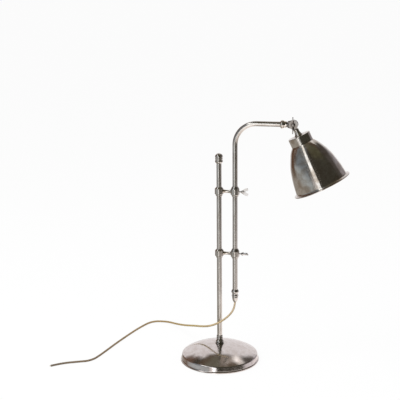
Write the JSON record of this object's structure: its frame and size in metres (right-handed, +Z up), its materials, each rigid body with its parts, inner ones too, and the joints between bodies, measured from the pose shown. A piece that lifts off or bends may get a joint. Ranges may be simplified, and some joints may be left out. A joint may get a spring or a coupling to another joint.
{
  "type": "desk lamp",
  "caption": "Desk lamp with a weighted dome base, a fixed post, and a bent arm that slides and turns in clamps beside it and carries a tilting bell shade.",
  "frame": {"origin": "centre of the underside of the base's felt pad, on the table", "axes": "+Z up along the post, +X towards the shade along the arm, +Y to the back of the lamp as pictured"},
  "size_m": [0.7288, 0.3674, 0.6326],
  "materials": {
    "aged_nickel": "polished nickel that has aged, with cloudy brown-grey patches",
    "bright_nickel": "polished nickel, brighter from handling",
    "plain_steel": "plain machined steel",
    "weight_iron": "rough black cast iron",
    "felt": "dark green felt",
    "lead_sleeve": "pale insulated lead",
    "cord_braid": "tan to dark brown braided lamp cord",
    "core_insulation": "insulated core",
    "holder_moulding": "glossy black moulding",
    "contact_brass": "bright brass",
    "bulb_cap_metal": "bright rolled shell",
    "bulb_glass": "lightly frosted glass",
    "filament_wire": "thin tungsten wire"
  },
  "bodies": {
    "base": {"base_cover": "aged_nickel", "base_weight": "weight_iron", "base_felt_pad": "felt", "base_stud": "plain_steel", "base_nut": "plain_steel", "base_washer": "plain_steel", "post_foot": "aged_nickel", "post_tube": "aged_nickel", "post_cap": "aged_nickel", "upper_post_collar": "aged_nickel", "upper_link_bar": "aged_nickel", "upper_rod_collar": "aged_nickel", "lower_post_collar": "aged_nickel", "lower_link_bar": "aged_nickel", "lower_rod_collar": "aged_nickel", "post_collar_screws": "plain_steel", "cord": "cord_braid", "cord_cores": "core_insulation"},
    "gland": {"cord_gland": "aged_nickel"},
    "arm": {"arm_tube": "aged_nickel", "arm_lead": "lead_sleeve", "arm_ferrule": "aged_nickel", "knuckle_fork": "aged_nickel", "knuckle_bolt": "bright_nickel", "knuckle_washer": "bright_nickel", "rod_end_bead": "aged_nickel"},
    "shade": {"shade_stem": "aged_nickel", "shade_cup": "aged_nickel", "shade_bell": "aged_nickel", "shade_nipple": "plain_steel", "shade_locknut": "plain_steel", "lampholder_body": "holder_moulding", "shade_ring": "holder_moulding", "lampholder_shell": "contact_brass", "lampholder_contact": "contact_brass", "bulb_cap": "bulb_cap_metal", "bulb_globe": "bulb_glass", "bulb_filament": "filament_wire", "shade_lead": "lead_sleeve"},
    "upper_screw": {"upper_thumb_screw": "bright_nickel"},
    "lower_screw": {"lower_thumb_screw": "bright_nickel"},
    "wing_nut": {"knuckle_wing_nut": "bright_nickel"}
  },
  "joints": [
    {"name": "height_slide", "type": "slide", "parent": "base", "child": "gland", "axis": [0, 0, 1], "range_m": [-0.06, 0.07], "deforming": ["cord"]},
    {"name": "arm_swing", "type": "hinge", "parent": "gland", "child": "arm", "pos_m": [0.04, 0, 0.1768], "axis": [0, 0, 1], "range_deg": [-170, 170]},
    {"name": "shade_tilt", "type": "hinge", "parent": "arm", "child": "shade", "pos_m": [0.182, 0, 0.6123], "axis": [0, -1, 0], "range_deg": [-30, 90]},
    {"name": "knuckle_nut_turn", "type": "hinge", "parent": "arm", "child": "wing_nut", "pos_m": [0.182, -0.012, 0.6123], "axis": [0, -1, 0], "range_deg": [0, 360]},
    {"name": "upper_screw_turn", "type": "hinge", "parent": "base", "child": "upper_screw", "pos_m": [0.055, 0, 0.442], "axis": [1, 0, 0], "range_deg": [0, 360]},
    {"name": "lower_screw_turn", "type": "hinge", "parent": "base", "child": "lower_screw", "pos_m": [0.055, 0, 0.2835], "axis": [1, 0, 0], "range_deg": [0, 360]}
  ]
}
